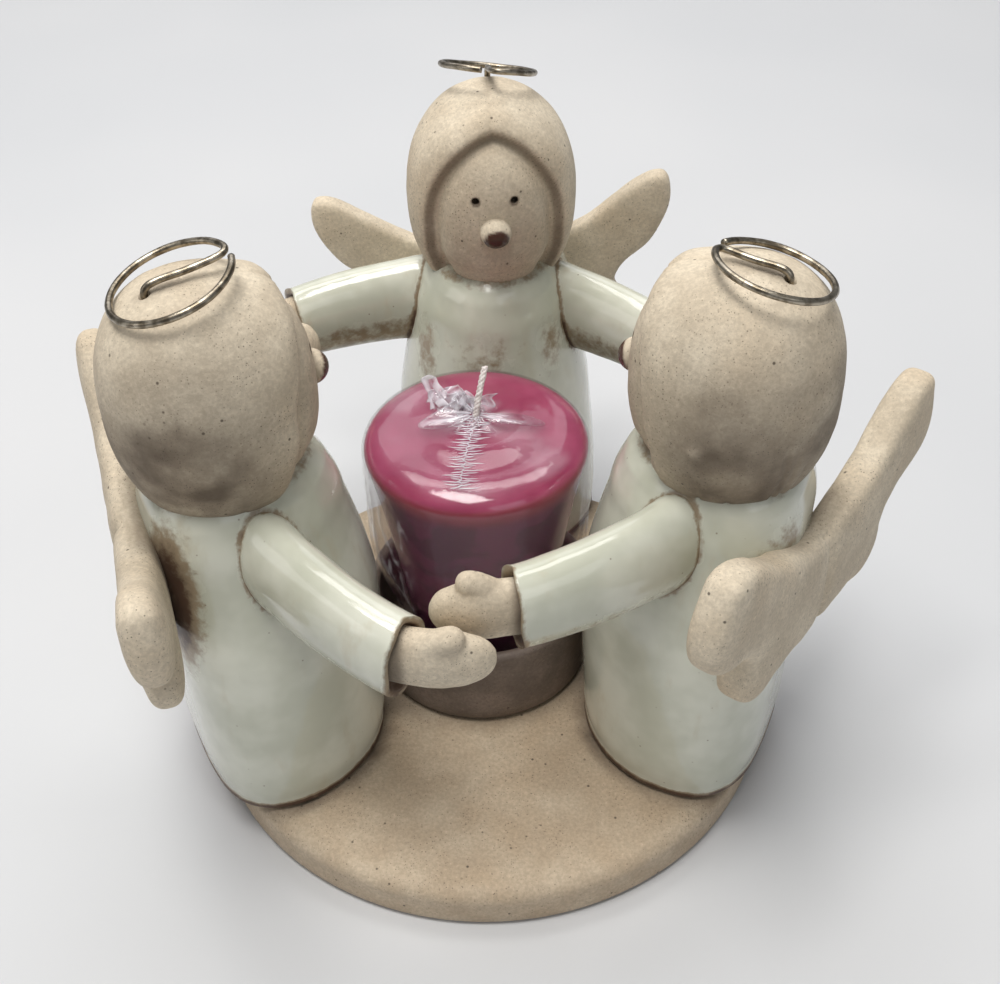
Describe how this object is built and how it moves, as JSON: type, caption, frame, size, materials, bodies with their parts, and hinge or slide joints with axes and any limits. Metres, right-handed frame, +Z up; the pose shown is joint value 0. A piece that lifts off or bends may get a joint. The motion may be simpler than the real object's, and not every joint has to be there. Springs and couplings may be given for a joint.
{
  "type": "angel tealight holder",
  "caption": "Stoneware candle holder: winged angels with wire halos stand hand in hand on a round base about a low cup that holds a film-wrapped votive candle.",
  "frame": {"origin": "middle of the base plate's underside", "axes": "+Z up; -Y is the side of the ring that faces the viewer, between the left and the right figure"},
  "size_m": [0.1521, 0.1319, 0.1131],
  "materials": {
    "base_clay": "unglazed speckled clay",
    "cup_clay": "dark clay with thin glaze",
    "bisque": "unglazed speckled bisque",
    "celadon": "glossy pale celadon glaze",
    "wax": "red wax",
    "cotton": "braided wick",
    "film": "clear shrink film",
    "nickel": "antique plated wire"
  },
  "bodies": {
    "holder": {"base_plate": "base_clay", "candle_cup": "cup_clay", "rear_angel_robe": "celadon", "rear_angel_sleeve_l": "celadon", "rear_angel_sleeve_r": "celadon", "rear_angel_head": "bisque", "rear_angel_nose": "bisque", "rear_angel_wing_l": "bisque", "rear_angel_wing_r": "bisque", "rear_angel_hand_l": "bisque", "rear_angel_hand_r": "bisque", "rear_angel_halo": "nickel", "left_angel_robe": "celadon", "left_angel_sleeve_l": "celadon", "left_angel_sleeve_r": "celadon", "left_angel_head": "bisque", "left_angel_nose": "bisque", "left_angel_wing_l": "bisque", "left_angel_wing_r": "bisque", "left_angel_hand_l": "bisque", "left_angel_hand_r": "bisque", "left_angel_halo": "nickel", "right_angel_robe": "celadon", "right_angel_sleeve_l": "celadon", "right_angel_sleeve_r": "celadon", "right_angel_head": "bisque", "right_angel_nose": "bisque", "right_angel_wing_l": "bisque", "right_angel_wing_r": "bisque", "right_angel_hand_l": "bisque", "right_angel_hand_r": "bisque", "right_angel_halo": "nickel"},
    "candle_unit": {"candle": "wax", "wick": "cotton", "candle_film": "film"}
  },
  "joints": [
    {"name": "candle_lift", "type": "slide", "parent": "holder", "child": "candle_unit", "axis": [0, 0, 1], "range_m": [0, 0.07]}
  ]
}
